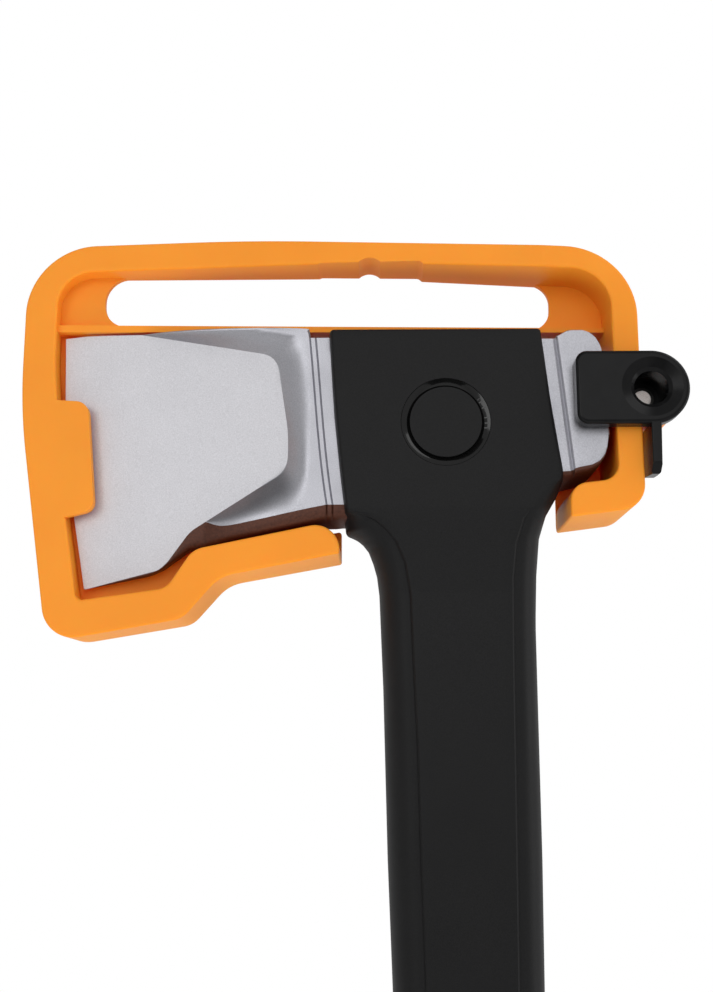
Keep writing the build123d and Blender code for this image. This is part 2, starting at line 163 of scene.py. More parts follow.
def quarter(front, middle, half, steps, power=1.0):
    """Rows from a front edge round to the middle plane; a power under 1 squares the corner."""
    rows = []
    for k in range(steps + 1):
        turn = math.pi / 2 * k / steps
        xz = front + (middle - front) * math.sin(turn) ** power
        y = -half * max(math.cos(turn), 0.0) ** power
        rows.append(np.stack([xz[:, 0], y, xz[:, 1]], axis=1))
    return rows


def lift(xz, half):
    """(x, y, z) points on the front side from (x, z) points and their half thickness."""
    return np.stack([xz[:, 0], -half, xz[:, 1]], axis=1)


def bevel_half(xz, edge):
    """Half thickness of the flat bevel at (x, z) points."""
    order = np.argsort(edge[:, 1])
    edge_x = np.interp(xz[:, 1], edge[order, 1], edge[order, 0])
    return np.maximum(BEVEL_SLOPE * (xz[:, 0] - edge_x), 0.0)


def rise(t):
    """Share of the climb from the bevel to the neck, steep at first and flat at its end."""
    t = np.clip(t, 0.0, 1.0)
    return 1.5 * t - 0.5 * t ** 3


def climb(line, start_half, power):
    """Half thickness along a line that ends at the neck, fast at first."""
    share = (line[:, 0] - line[0, 0]) / (line[-1, 0] - line[0, 0])
    return start_half + (NECK_HALF - start_half) * (1 - (1 - np.clip(share, 0.0, 1.0)) ** power)


def neck_line(offset, count):
    """Points down a bowed line across the neck, offset along x from the first groove."""
    t = np.linspace(0.0, 1.0, count + 1)
    x = NECK_TOP[0] + (NECK_FOOT[0] - NECK_TOP[0]) * t - NECK_BOW * 4 * t * (1 - t) * t + offset
    z = NECK_TOP[1] + (NECK_FOOT[1] - NECK_TOP[1]) * t
    return np.stack([x, z], axis=1)


def station(front, half, top_z, keel_z):
    """Front half of a section of the head: over the top, down the front line and under the keel."""
    points = []
    for k in range(ACROSS_TOP):
        turn = math.pi / 2 * k / ACROSS_TOP
        z = top_z + (front[0, 1] - top_z) * (1 - math.cos(turn))
        points.append((front[0, 0], -half * math.sin(turn), z))
    points += [(x, -half, z) for x, z in front]
    for k in range(1, ACROSS_KEEL + 1):
        turn = math.pi / 2 * k / ACROSS_KEEL
        z = front[-1, 1] + (keel_z - front[-1, 1]) * math.sin(turn) ** KEEL_POWER
        points.append((front[-1, 0], -half * max(math.cos(turn), 0.0) ** KEEL_POWER, z))
    return points


def blade_quads(quads):
    """Bevel, scoop, top edge and keel of the blade, up to the first groove."""
    top_steps, side_steps, slope_steps, lower_steps = BEVEL_STEPS
    scoop_steps = top_steps + side_steps + slope_steps
    edge = through([TOE, EDGE_MIDDLE, HEEL], sum(BEVEL_STEPS))
    line = spread(rounded(BEVEL_LINE), sum(BEVEL_STEPS))
    line_half = bevel_half(line, edge)

    toe_line = through([TOE, (-99.0, -24.3), line[0]], ACROSS_BEVEL)
    rows = []
    for j in range(ACROSS_BEVEL + 1):
        t = j / ACROSS_BEVEL
        xz = edge + (line - edge) * t
        fade = np.clip(1 - np.arange(len(edge)) / 30.0, 0.0, 1.0)[:, None]
        xz = xz + fade * (toe_line[j] - (edge[0] + (line[0] - edge[0]) * t))
        rows.append(lift(xz, line_half * t))
    grid(quads, rows, finish=1)

    inner = line[:scoop_steps + 1]
    inner_half = line_half[:scoop_steps + 1]
    over = through(TOP_LINE, top_steps)
    side = neck_line(-GROOVE_HALF, side_steps)
    over[-1] = side[0]
    under = through(LOWER_LINE + [line[scoop_steps]], slope_steps)
    under[0] = side[-1]
    outer = np.vstack([over, side[1:], under[1:]])
    outer_half = np.concatenate([
        climb(over, inner_half[0], 2.4),
        np.full(side_steps, NECK_HALF),
        climb(under[::-1], inner_half[-1], 2.6)[::-1][1:],
    ])
    width = np.maximum(np.linalg.norm(outer - inner, axis=1), 0.1)
    ends = np.minimum(SCOOP_REACH / width, 1.0)
    rows = []
    for j in range(ACROSS_SCOOP + 1):
        t = j / ACROSS_SCOOP
        half = inner_half + (outer_half - inner_half) * rise(t / ends)
        rows.append(lift(inner + (outer - inner) * t, half))
    grid(quads, rows)

    front = np.vstack([toe_line, over[1:]])
    front_half = np.concatenate([
        np.linspace(0.0, line_half[0], ACROSS_BEVEL + 1), outer_half[1:top_steps + 1]])
    crest = front + np.stack([0 * front_half, 0.7 * np.minimum(front_half / 6.0, 1.0)], axis=1)
    grid(quads, quarter(front, crest, front_half, ACROSS_TOP))

    heel = line[scoop_steps:][::-1]
    keel = spread(rounded(KEEL_BLADE), lower_steps)
    # The keel rows here and below take finish 2, the painted shade under the head.
    grid(quads, quarter(heel, keel, line_half[scoop_steps:][::-1], ACROSS_KEEL, KEEL_POWER), finish=2)
    neck = under[::-1]
    keel = through(KEEL_NECK, slope_steps)
    neck_half = outer_half[top_steps + side_steps:][::-1]
    grid(quads, quarter(neck, keel, neck_half, ACROSS_KEEL, KEEL_POWER), finish=2)


def poll_outline(x, corners):
    """Height of the poll's front outline at x, from (x, z) corners."""
    corners = np.array(corners)
    return float(np.interp(x, corners[:, 0], corners[:, 1]))


POLL_TOP = [(55, -30.6), (63.6, -30.6), (65.6, -29.8), (67.8, -28.4), (69.5, -28.1), (73.4, -28.1),
            (75.4, -28.8), (77.2, -30.2), (78.6, -32.2), (79.5, -34.6), (79.9, -37.0)]
POLL_FOOT = [(55, -77.2), (66.0, -77.6), (68.0, -77.2), (70.3, -76.3), (75.0, -75.4), (77.6, -74.0),
             (79.4, -71.8), (80.4, -68.8), (80.8, -65.0)]
STEP_LINE = (64.7, 69.3)       # x of the poll's step at its top and at its foot


def head_stations():
    """Sections from the first groove through the collar to the end of the poll."""
    count = BEVEL_STEPS[1]
    sections = []
    for groove in (0.0, GROOVE_GAP):
        for offset in (-GROOVE_HALF, 0.0, GROOVE_HALF):
            depth = 0.0 if offset else GROOVE_DEPTH
            front = neck_line(groove + offset, count)
            sections.append(station(front, NECK_HALF - depth, -28.5, -93.6))
    for offset in (5.0, 9.0):
        front = neck_line(offset, count)
        sections.append(station(front, NECK_HALF, -28.5, -93.3))
    for x, foot in ((INSERT[0] + 2.0, -84.0), (INSERT[1] - 2.0, -72.0)):
        t = np.linspace(0.0, 1.0, count + 1)
        front = np.stack([0 * t + x, -33.5 + (foot + 0.5 + 33.5) * t], axis=1)
        sections.append(station(front, INSERT_HALF, -33.0, foot))

    def poll_section(top_x, foot_x, half):
        top_z = poll_outline(top_x, POLL_TOP)
        foot_z = poll_outline(foot_x, POLL_FOOT)
        t = np.linspace(0.0, 1.0, count + 1)
        front = np.stack([top_x + (foot_x - top_x) * t, top_z + (foot_z - top_z) * t], axis=1)
        keel_drop = 2.4 - 1.2 * max(0.0, (foot_x - 72.0) / 9.0)
        return station(front, half, top_z + 1.2, foot_z - keel_drop)

    for x in (INSERT[1], 61.0):
        sections.append(poll_section(x, x + 2.0, POLL_NECK_HALF))
    profile = [(-1.6, POLL_NECK_HALF), (-1.2, POLL_NECK_HALF), (-0.7, POLL_NECK_HALF - 0.3), (-0.4, POLL_NECK_HALF - 0.3),
               (-0.15, POLL_HALF - 0.25), (0.1, POLL_HALF - 0.05), (0.6, POLL_HALF)]
    for offset, half in profile:
        sections.append(poll_section(STEP_LINE[0] + offset, STEP_LINE[1] + offset, half))
    first = profile[-1][0]
    steps = 16
    for k in range(1, steps + 1):
        t = math.sin(math.pi / 2 * k / steps)
        top_x = STEP_LINE[0] + first + (POLL_TOP[-1][0] - STEP_LINE[0] - first) * t
        foot_x = STEP_LINE[1] + first + (POLL_FOOT[-1][0] - STEP_LINE[1] - first) * t
        sections.append(poll_section(top_x, foot_x, POLL_HALF))
    last = sections[-1]
    for k in range(1, 5):
        turn = math.pi / 2 * k / 4
        step = 0.7 * math.sin(turn)
        ratio = 1 - POLL_ROUND / POLL_HALF * (1 - math.cos(turn))
        sections.append([(x + step, y * ratio, z) for x, y, z in last])
    sections.append([(x, 0.0, z) for x, _, z in sections[-1]])
    return sections


def make_head():
    quads = []
    blade_quads(quads)
    sections = head_stations()
    grid(quads, [section[:-ACROSS_KEEL] for section in sections])
    # The keel rows take finish 2, the painted shade under the head.
    grid(quads, [section[-ACROSS_KEEL - 1:] for section in sections], finish=2)
    return solid("axe_head_forging", quads)


# ---- moulded handle --------------------------------------------------------------
# (z, x) of the outline in the middle plane and of the cheeks' edges
FRONT_SIDE = [
    (-27.5, -14.2), (-58.0, -12.4), (-75.0, -10.7), (-88.0, -9.2), (-96.4, -8.3), (-97.2, -6.4),
    (-98.2, -4.6), (-99.9, -2.6), (-102.6, -0.5), (-106.8, 1.1), (-111.5, 2.4), (-118.0, 3.2),
    (-150.0, 4.4), (-205.0, 5.6), (-300.0, 9.0), (-420.0, 12.6), (-545.0, 14.4), (-640.0, 13.6),
    (-695.0, 9.0), (-738.0, 1.5),
]
REAR_SIDE = [
    (-27.5, 59.6), (-52.0, 62.4), (-77.4, 66.2), (-80.8, 65.9), (-85.2, 64.0), (-91.2, 60.5),
    (-98.8, 58.2), (-111.5, 57.0), (-128.0, 56.3), (-205.0, 56.4), (-300.0, 55.4),
    (-420.0, 53.2), (-545.0, 51.8), (-640.0, 52.2), (-695.0, 53.6), (-738.0, 56.0),
]
FRONT_CREASE = [
    (-27.5, -12.2), (-41.0, -11.6), (-58.0, -10.0), (-74.7, -8.4), (-87.8, -7.0), (-91.4, -6.4),
    (-92.2, -2.4), (-94.1, 1.4), (-97.3, 5.3), (-101.1, 8.4), (-108.2, 11.4), (-118.9, 13.2),
    (-137.3, 13.8), (-168.4, 15.1), (-205.0, 15.9), (-300.0, 18.9), (-420.0, 22.0), (-545.0, 23.6),
    (-640.0, 22.8), (-695.0, 18.2), (-738.0, 10.7),
]
REAR_CREASE = [
    (-27.5, 57.6), (-37.9, 58.7), (-51.6, 60.0), (-65.0, 61.6), (-76.9, 63.3), (-79.6, 63.6),
    (-80.6, 62.2), (-82.4, 59.6), (-87.6, 55.5), (-93.4, 52.0), (-101.9, 49.3), (-113.3, 48.1),
    (-137.4, 47.7), (-205.0, 47.2), (-300.0, 46.4), (-420.0, 44.2), (-545.0, 42.8),
    (-640.0, 43.2), (-695.0, 44.6), (-738.0, 47.0),
]
CHEEK = [(-27.5, 17.0), (-90.0, 17.0), (-104.0, 15.9), (-118.0, 15.0), (-205.0, 14.8),
         (-300.0, 14.3), (-420.0, 13.8), (-545.0, 13.6), (-640.0, 14.0), (-695.0, 14.6), (-738.0, 15.2)]
CREASE_STEP = [(-27.5, 0.0), (-90.5, 0.0), (-93.5, 1.2), (-520.0, 1.2), (-544.0, 0.0)]
CREASE_LIP = 0.8               # width of the slope at each crease
BOXINESS = [(-27.5, 3.4), (-84.0, 3.0), (-100.0, 2.2), (-545.0, 2.1)]
TOP_ROUND = 0.8
GRIP_TOP = -545.0
GRIP_ROUND = 1.2
GRIP_THICK = 2.4
CORE_END = -738.0
CAVITY_TOP = -150.0
WALL = 4.5
CAP_FOOT = -745.0
CAP_ROUND = 2.5
CAP_PLUG = 16.0
CAP_CLEAR = 0.3
BADGE = (25.9, -60.5)
BADGE_R = (12.2, 15.3)
BADGE_FLOOR = 15.2
BADGE_RIM = (15.95, 16.8)      # how far out the dished ring stands at its inner and outer radius
MARK_ANGLES = (-9.0, -2.0, 6.0, 21.0, 30.0, 35.0)
FLANK_STEPS = 14
CHEEK_STEPS = 12


def at(table, z):
    """Value at height z, read between the rows of a (z, value) table."""
    rows = np.array(table)[::-1]
    return float(np.interp(z, rows[:, 0], rows[:, 1]))


def handle_section(z, inset=0.0):
    """Front half of the handle's section at one height, from its front side to its rear side."""
    front, rear = at(FRONT_SIDE, z) + inset, at(REAR_SIDE, z) - inset
    left, right = at(FRONT_CREASE, z), at(REAR_CREASE, z)
    half = at(CHEEK, z) - inset
    step = at(CREASE_STEP, z)
    power = 2.0 / at(BOXINESS, z)
    points = []
    for k in range(FLANK_STEPS + 1):
        turn = math.pi / 2 * k / FLANK_STEPS
        out = math.cos(turn) ** power
        depth = (half - step) * math.sin(turn) ** power
        points.append((left + (front - left) * out, -depth, z))
    lip = min(step, CREASE_LIP)
    points.append((left + lip * 0.4, -half + step * 0.45, z))
    points.append((left + lip, -half + step * 0.1, z))
    for k in range(CHEEK_STEPS + 1):
        t = k / CHEEK_STEPS
        points.append((left + lip * 2 + (right - left - lip * 4) * t, -half, z))
    points.append((right - lip, -half + step * 0.1, z))
    points.append((right - lip * 0.4, -half + step * 0.45, z))
    for k in range(FLANK_STEPS, -1, -1):
        turn = math.pi / 2 * k / FLANK_STEPS
        out = math.cos(turn) ** power
        depth = (half - step) * math.sin(turn) ** power
        points.append((right + (rear - right) * out, -depth, z))
    return np.array(points)


def shrunk(section, amount, z):
    """A section drawn in on all sides, for a rounded end."""
    low, high = section[:, 0].min(), section[:, 0].max()
    middle = (low + high) / 2
    wide = (high - low) / 2
    half = -section[:, 1].min()
    out = section.copy()
    out[:, 0] = middle + (section[:, 0] - middle) * (wide - amount) / wide
    out[:, 1] = section[:, 1] * (half - amount) / half
    out[:, 2] = z
    return out


def flat(section):
    """The section laid onto the middle plane, which closes an end."""
    out = section.copy()
    out[:, 1] = 0.0
    return out


def bead(base, radius, upward, steps=4):
    """Sections from the base round a rounded end, above it (upward 1) or below it (-1)."""
    sections = []
    for k in range(steps + 1):
        turn = math.pi / 2 * k / steps
        z = base[0, 2] + upward * radius * math.sin(turn)
        sections.append(shrunk(base, radius * (1 - math.cos(turn)), z))
    return sections


def tube(z_from, z_to, step, inset=0.0):
    """Sections of the handle between two heights, drawn in by the inset."""
    count = max(1, round(abs(z_to - z_from) / step))
    base = [handle_section(z) for z in np.linspace(z_from, z_to, count + 1)]
    return [shrunk(section, inset, section[0, 2]) for section in base]


def make_handle():
    """Collar and shaft, with the thinner core inside the grip and the hollow up the middle."""
    top = FRONT_SIDE[0][0]
    sections = bead(handle_section(top - TOP_ROUND), TOP_ROUND, 1)[::-1]
    sections += tube(top - 3.5, -90.0, 2.5) + tube(-90.5, -120.0, 0.5)
    sections += tube(-125.0, -205.0, 5.0) + tube(-215.0, GRIP_TOP + 1.0, 10.0)
    base = sections[-1]
    sections += [shrunk(base, 0.3, GRIP_TOP + 0.3), shrunk(base, 0.9, GRIP_TOP)]
    core = tube(GRIP_TOP, CORE_END, 20.0, GRIP_THICK)
    hollow = tube(CORE_END, GRIP_TOP, 20.0, GRIP_THICK + WALL)
    hollow += tube(GRIP_TOP, CAVITY_TOP, 20.0, GRIP_THICK + WALL)
    sections += core + hollow
    quads = []
    grid(quads, [flat(sections[0])] + sections + [flat(sections[-1])])
    handle = solid("handle_moulding", quads)
    for side in (-1, 1):
        groove = ring("groove", [
            (BADGE_R[0], BADGE_FLOOR), (BADGE_R[1], BADGE_FLOOR), (BADGE_R[1], 18.0), (BADGE_R[0], 18.0),
        ], side)
        carve(handle, groove)
    return handle


def make_grip():
    """Sleeve round the core, with a bead at its top and two shallow grooves under it."""
    sections = bead(handle_section(GRIP_TOP - GRIP_ROUND), GRIP_ROUND, 1)[::-1]
    for z in np.arange(GRIP_TOP - 3.0, CORE_END + 1.5, -1.5):
        near = min(abs(z - (GRIP_TOP - 9.0)), abs(z - (GRIP_TOP - 15.0)))
        sections.append(shrunk(handle_section(z), 0.5 * max(0.0, 1 - (near / 2.0) ** 2), z))
    sections += [handle_section(CORE_END)]
    inside = tube(CORE_END, GRIP_TOP, 20.0, GRIP_THICK)
    quads = []
    grid(quads, sections + inside + [sections[0]])
    return solid("grip_rubber", quads)


def make_cap():
    """Foot of the handle: a rounded flange with a plug that goes up the hollow."""
    reach = GRIP_THICK + WALL + CAP_CLEAR
    plug = tube(CORE_END + CAP_PLUG, CORE_END, 8.0, reach)
    rim = handle_section(CORE_END)
    foot = shrunk(rim, 1.0, CAP_FOOT + CAP_ROUND)
    sections = [flat(plug[0])] + plug + [rim, foot] + bead(foot, CAP_ROUND, -1)
    sections.append(flat(sections[-1]))
    quads = []
    grid(quads, sections)
    return solid("cap_rubber", quads)


def ring(name, profile, side, steps=128):
    """Closed ring about the badge's axis from (radius, distance from the middle) corners."""
    mesh = bmesh.new()
    loops = []
    for k in range(steps):
        turn = 2 * math.pi * k / steps
        place = [(BADGE[0] + r * math.cos(turn), side * y, BADGE[1] + r * math.sin(turn)) for r, y in profile]
        loops.append([mesh.verts.new((x * MM, y * MM, z * MM)) for x, y, z in place])
    for a, b in zip(loops, loops[1:] + loops[:1]):
        for k in range(len(profile)):
            after = (k + 1) % len(profile)
            mesh.faces.new((a[k], a[after], b[after], b[k]))
    bmesh.ops.recalc_face_normals(mesh, faces=mesh.faces)
    data = bpy.data.meshes.new(name)
    mesh.to_mesh(data)
    mesh.free()
    data.shade_smooth()
    data.set_sharp_from_angle(angle=math.radians(32))
    piece = bpy.data.objects.new(name, data)
    bpy.context.scene.collection.objects.link(piece)
    return piece


def carve(piece, cutter):
    """Cuts the cutter out of a piece and discards it."""
    step = piece.modifiers.new("cut", "BOOLEAN")
    step.operation = "DIFFERENCE"
    step.solver = "EXACT"
    step.object = cutter
    scene = bpy.context.evaluated_depsgraph_get()
    data = bpy.data.meshes.new_from_object(piece.evaluated_get(scene))
    piece.modifiers.clear()
    piece.data = data
    bpy.data.objects.remove(cutter)
    data.set_sharp_from_angle(angle=math.radians(32))


def make_badge(name, side):
    """Dished ring in the groove, with small raised marks on its poll side."""
    inner, outer = BADGE_R[0] + 0.06, BADGE_R[1] - 0.06
    low, high = BADGE_RIM
    floor = BADGE_FLOOR + 0.02
    piece = ring(name, [
        (inner, floor), (outer, floor), (outer, high - 0.1), (outer - 0.1, high),
        (inner + 0.1, low), (inner, low - 0.1),
    ], side)
    mesh = bmesh.new()
    mesh.from_mesh(piece.data)
    slope = (high - low) / (outer - inner)
    for angle in MARK_ANGLES:
        turn = Matrix.Rotation(math.radians(-angle), 4, "Y")
        middle = Vector((BADGE[0], 0.0, BADGE[1])) * MM
        corners = []
        for raised in (-0.3, 0.1):
            for r, across in ((13.2, -0.22), (14.3, -0.22), (14.3, 0.22), (13.2, 0.22)):
                y = side * (low + slope * (r - inner) + raised)
                corners.append(mesh.verts.new(middle + turn @ (Vector((r, y, across)) * MM)))
        for a, b, c, d in ((0, 1, 2, 3), (4, 5, 6, 7), (0, 1, 5, 4), (1, 2, 6, 5), (2, 3, 7, 6), (3, 0, 4, 7)):
            mesh.faces.new((corners[a], corners[b], corners[c], corners[d]))
    bmesh.ops.recalc_face_normals(mesh, faces=mesh.faces)
    mesh.to_mesh(piece.data)
    mesh.free()
    piece.data.set_sharp_from_angle(angle=math.radians(32))
    return piece


RIVET_AXIS = (94.8, -50.2)


# ---- finishes --------------------------------------------------------------------
class Finish:
    """A procedural material, with the node steps that the finishes below share."""

    def __init__(self, name, **sockets):
        self.material = bpy.data.materials.new(name)
        self.material.use_nodes = True
        self.nodes = self.material.node_tree.nodes
        self.links = self.material.node_tree.links
        self.shader = self.nodes["Principled BSDF"]
        for socket, value in sockets.items():
            self.shader.inputs[socket.replace("_", " ")].default_value = value
        self.place = self.nodes.new("ShaderNodeTexCoord").outputs["Object"]

    def stretched(self, x, y, z):
        """Object coordinates scaled along each axis."""
        node = self.nodes.new("ShaderNodeMapping")
        node.inputs["Scale"].default_value = (x, y, z)
        self.links.new(self.place, node.inputs["Vector"])
        return node.outputs["Vector"]

    def noise(self, size, detail=2.0, place=None):
        """Noise with blotches about size millimetres across."""
        node = self.nodes.new("ShaderNodeTexNoise")
        node.inputs["Scale"].default_value = 1.0 / (size * MM)
        node.inputs["Detail"].default_value = detail
        self.links.new(place or self.place, node.inputs["Vector"])
        return node.outputs["Fac"]

    def cells(self, size):
        """Distance to the middle of cells about size millimetres across."""
        node = self.nodes.new("ShaderNodeTexVoronoi")
        node.inputs["Scale"].default_value = 1.0 / (size * MM)
        self.links.new(self.place, node.inputs["Vector"])
        return node.outputs["Distance"]

    def open_air(self, reach):
        """1 in the open, 0 deep in a gap."""
        node = self.nodes.new("ShaderNodeAmbientOcclusion")
        node.samples = 8
        node.inputs["Distance"].default_value = reach * MM
        return node.outputs["AO"]

    def near_axis(self, x, z, radius):
        """1 within a radius of a line along y, 0 outside it."""
        centred = self.nodes.new("ShaderNodeVectorMath")
        centred.operation = "SUBTRACT"
        centred.inputs[1].default_value = (x * MM, 0.0, z * MM)
        self.links.new(self.place, centred.inputs[0])
        level = self.nodes.new("ShaderNodeVectorMath")
        level.operation = "MULTIPLY"
        level.inputs[1].default_value = (1.0, 0.0, 1.0)
        self.links.new(centred.outputs["Vector"], level.inputs[0])
        length = self.nodes.new("ShaderNodeVectorMath")
        length.operation = "LENGTH"
        self.links.new(level.outputs["Vector"], length.inputs[0])
        edge = (radius * MM, (radius + 0.02) * MM)
        return self.spread(length.outputs["Value"], 1.0, 0.0, clip=edge)

    def spread(self, value, low, high, clip=(0.3, 0.7)):
        """A value between clip's limits mapped to low and high."""
        node = self.nodes.new("ShaderNodeMapRange")
        node.inputs["From Min"].default_value = clip[0]
        node.inputs["From Max"].default_value = clip[1]
        node.inputs["To Min"].default_value = low
        node.inputs["To Max"].default_value = high
        self.links.new(value, node.inputs["Value"])
        return node.outputs["Result"]

    def blend(self, share, first, second):
        """Colour between two colours, each a tuple or a socket."""
        node = self.nodes.new("ShaderNodeMix")
        node.data_type = "RGBA"
        for socket, value in ((node.inputs[6], first), (node.inputs[7], second)):
            if isinstance(value, tuple):
                socket.default_value = (*value, 1.0)
            else:
                self.links.new(value, socket)
        self.links.new(share, node.inputs[0])
        return node.outputs[2]

    def colour(self, value):
        self.links.new(value, self.shader.inputs["Base Color"])

    def roughness(self, value):
        self.links.new(value, self.shader.inputs["Roughness"])

    def bump(self, height, depth, strength=1.0):
        """Relief of depth millimetres, added to what is already there."""
        node = self.nodes.new("ShaderNodeBump")
        node.inputs["Distance"].default_value = depth * MM
        node.inputs["Strength"].default_value = strength
        self.links.new(height, node.inputs["Height"])
        if self.shader.inputs["Normal"].is_linked:
            before = self.shader.inputs["Normal"].links[0].from_socket
            self.links.new(before, node.inputs["Normal"])
        self.links.new(node.outputs["Normal"], self.shader.inputs["Normal"])


def silver_paint():
    """Metallic paint over the forging: fine flakes and a faint orange peel."""
    finish = Finish("silver_paint", Metallic=0.9)
    flakes = finish.noise(0.35, 3.0)
    patches = finish.noise(14.0)
    tone = finish.blend(finish.spread(flakes, 0.0, 1.0), (0.34, 0.34, 0.368), (0.45, 0.45, 0.483))
    finish.colour(tone)
    finish.roughness(finish.spread(patches, 0.34, 0.42))
    finish.bump(finish.noise(0.9, 2.0), 0.02)
    finish.bump(flakes, 0.012)
    return finish.material


def underside_painted_shade():
    """Painted shade under the head: a dark brown finish with a painted orange reflection, in place of the
    shadow and the sheath's bounced light there.
    """
    finish = Finish("underside_painted_shade", Metallic=0.5)
    pits = finish.noise(0.8, 4.0)
    # Painted shade and painted orange reflection: dark brown tones for the underside, which sits in shade.
    tone = finish.blend(finish.spread(pits, 0.0, 1.0), (0.060, 0.020, 0.011), (0.105, 0.036, 0.020))
    finish.colour(tone)
    finish.roughness(finish.spread(pits, 0.45, 0.6))
    finish.bump(pits, 0.04)
    return finish.material


def blasted_bevel():
    """Pale matt bevel with a speckle."""
    finish = Finish("blasted_bevel", Metallic=0.55)
    speckle = finish.noise(0.42, 4.0)
    cloud = finish.noise(9.0)
    tone = finish.blend(finish.spread(speckle, 0.0, 1.0), (0.53, 0.525, 0.55), (0.65, 0.645, 0.675))
    finish.colour(tone)
    finish.roughness(finish.spread(cloud, 0.54, 0.57))
    finish.bump(speckle, 0.02)
    return finish.material


def handle_plastic():
    """Black glass-filled plastic with a fine spark-eroded grain."""
    finish = Finish("handle_plastic", IOR=1.45)
    finish.shader.inputs["Specular IOR Level"].default_value = 0.185
    grain = finish.noise(0.28, 3.0)
    cloud = finish.noise(25.0)
    tone = finish.blend(finish.spread(cloud, 0.0, 1.0), (0.0050, 0.0050, 0.0052), (0.0064, 0.0064, 0.0066))
    finish.colour(finish.blend(finish.spread(grain, 0.0, 0.6), tone, (0.013, 0.013, 0.0135)))
    finish.roughness(finish.spread(cloud, 0.46, 0.52))
    finish.bump(grain, 0.03)
    return finish.material


def orange_plastic():
    """Orange polypropylene: a little light goes in, and the mould left a fine grain. Gaps and recesses are
    painted a deeper, redder orange as painted shade and painted bounced light.
    """
    finish = Finish("orange_plastic", Subsurface_Weight=0.30, Subsurface_Scale=0.004)
    finish.shader.inputs["Subsurface Radius"].default_value = (1.0, 0.12, 0.03)
    finish.shader.inputs["Specular IOR Level"].default_value = 0.14
    cloud = finish.noise(30.0)
    tone = finish.blend(finish.spread(cloud, 0.0, 1.0), (0.87, 0.298, 0.024), (0.91, 0.318, 0.028))
    # Painted shade and painted bounced light: the orange turns deeper and redder in gaps and recesses, by
    # ambient occlusion.
    open_air = finish.open_air(9.0)
    tone = finish.blend(finish.spread(open_air, 1.0, 0.0, clip=(0.05, 0.36)), tone, (0.95, 0.22, 0.014))
    tone = finish.blend(finish.spread(open_air, 1.0, 0.0, clip=(0.03, 0.34)), tone, (0.92, 0.020, 0.0))
    finish.colour(tone)
    finish.roughness(finish.spread(cloud, 0.40, 0.48))
    finish.bump(finish.noise(0.45, 3.0), 0.02)
    finish.bump(finish.noise(6.0), 0.03)
    return finish.material


def lock_plastic():
    """Black moulded nylon with a satin face."""
    finish = Finish("lock_plastic")
    finish.shader.inputs["Specular IOR Level"].default_value = 0.11
    cloud = finish.noise(5.0)
    tone = finish.blend(finish.spread(cloud, 0.0, 1.0), (0.0055, 0.0055, 0.0058), (0.0075, 0.0075, 0.0078))
    finish.colour(tone)
    finish.roughness(finish.spread(cloud, 0.18, 0.22))
    finish.bump(finish.noise(0.25, 3.0), 0.01)
    return finish.material


def gloss_ring():
    """Polished black ring."""
    finish = Finish("gloss_ring")
    finish.shader.inputs["Specular IOR Level"].default_value = 0.35
    cloud = finish.noise(3.0)
    finish.colour(finish.blend(cloud, (0.0025, 0.0025, 0.0025), (0.004, 0.004, 0.004)))
    finish.roughness(finish.spread(cloud, 0.08, 0.12))
    finish.bump(finish.noise(0.5), 0.002)
    return finish.material


def soft_grip():
    """Dark grey rubber with a pebbled grain."""
    finish = Finish("soft_grip")
    finish.shader.inputs["Specular IOR Level"].default_value = 0.25
    finish.shader.inputs["Sheen Weight"].default_value = 0.08
    cloud = finish.noise(18.0)
    tone = finish.blend(finish.spread(cloud, 0.0, 1.0), (0.012, 0.012, 0.012), (0.020, 0.020, 0.020))
    finish.colour(tone)
    finish.roughness(finish.spread(cloud, 0.68, 0.8))
    finish.bump(finish.cells(0.9), 0.12)
    return finish.material


def rivet_steel():
    """Steel with turning marks, bright inside the bore and painted near black outside it, as painted shade on
    the deep flange.
    """
    finish = Finish("rivet_steel", Metallic=1.0)
    marks = finish.noise(0.4, 3.0, finish.stretched(1.0, 8.0, 1.0))
    bright = finish.blend(marks, (0.50, 0.48, 0.46), (0.62, 0.60, 0.58))
    black = finish.blend(marks, (0.020, 0.019, 0.018), (0.035, 0.034, 0.033))
    # Painted shade: near black outside the bore's radius, bright steel inside it.
    finish.colour(finish.blend(finish.near_axis(*RIVET_AXIS, 2.95), black, bright))
    finish.roughness(finish.spread(marks, 0.24, 0.36))
    finish.bump(marks, 0.003)
    return finish.material


def dress(piece, *materials):
    """Gives a piece its materials, in the order of its faces' indexes."""
    while len(piece.data.materials) < len(materials):
        piece.data.materials.append(None)
    for k, material in enumerate(materials):
        piece.material_slots[k].material = material


# ---- camera ---------------------------------------------------------------------
EYE = Vector((0.0019, -0.412, -0.1622))
EYE_PITCH = math.radians(10.9)
EYE_YAW = math.radians(0.914)
LENS = 43.55
SENSOR = 36.0


def make_camera():
    data = bpy.data.cameras.new("camera")
    data.lens = LENS
    data.sensor_width = SENSOR
    camera = bpy.data.objects.new("camera", data)
    bpy.context.scene.collection.objects.link(camera)
    level = math.cos(EYE_PITCH)
    forward = Vector((-math.sin(EYE_YAW) * level, math.cos(EYE_YAW) * level, math.sin(EYE_PITCH)))
    right = Vector((math.cos(EYE_YAW), math.sin(EYE_YAW), 0.0))
    up = right.cross(forward)
    turn = Matrix((right, up, -forward)).transposed()
    camera.matrix_world = Matrix.Translation(EYE) @ turn.to_4x4()
    bpy.context.scene.camera = camera


# ---- studio ----------------------------------------------------------------------
def plain(name, tone):
    """Matt finish of the floor and the flags, with a faint mottle."""
    finish = Finish(name, Roughness=0.9)
    cloud = finish.noise(80.0)
    finish.colour(finish.blend(cloud, (tone * 0.97,) * 3, (tone,) * 3))
    return finish.material


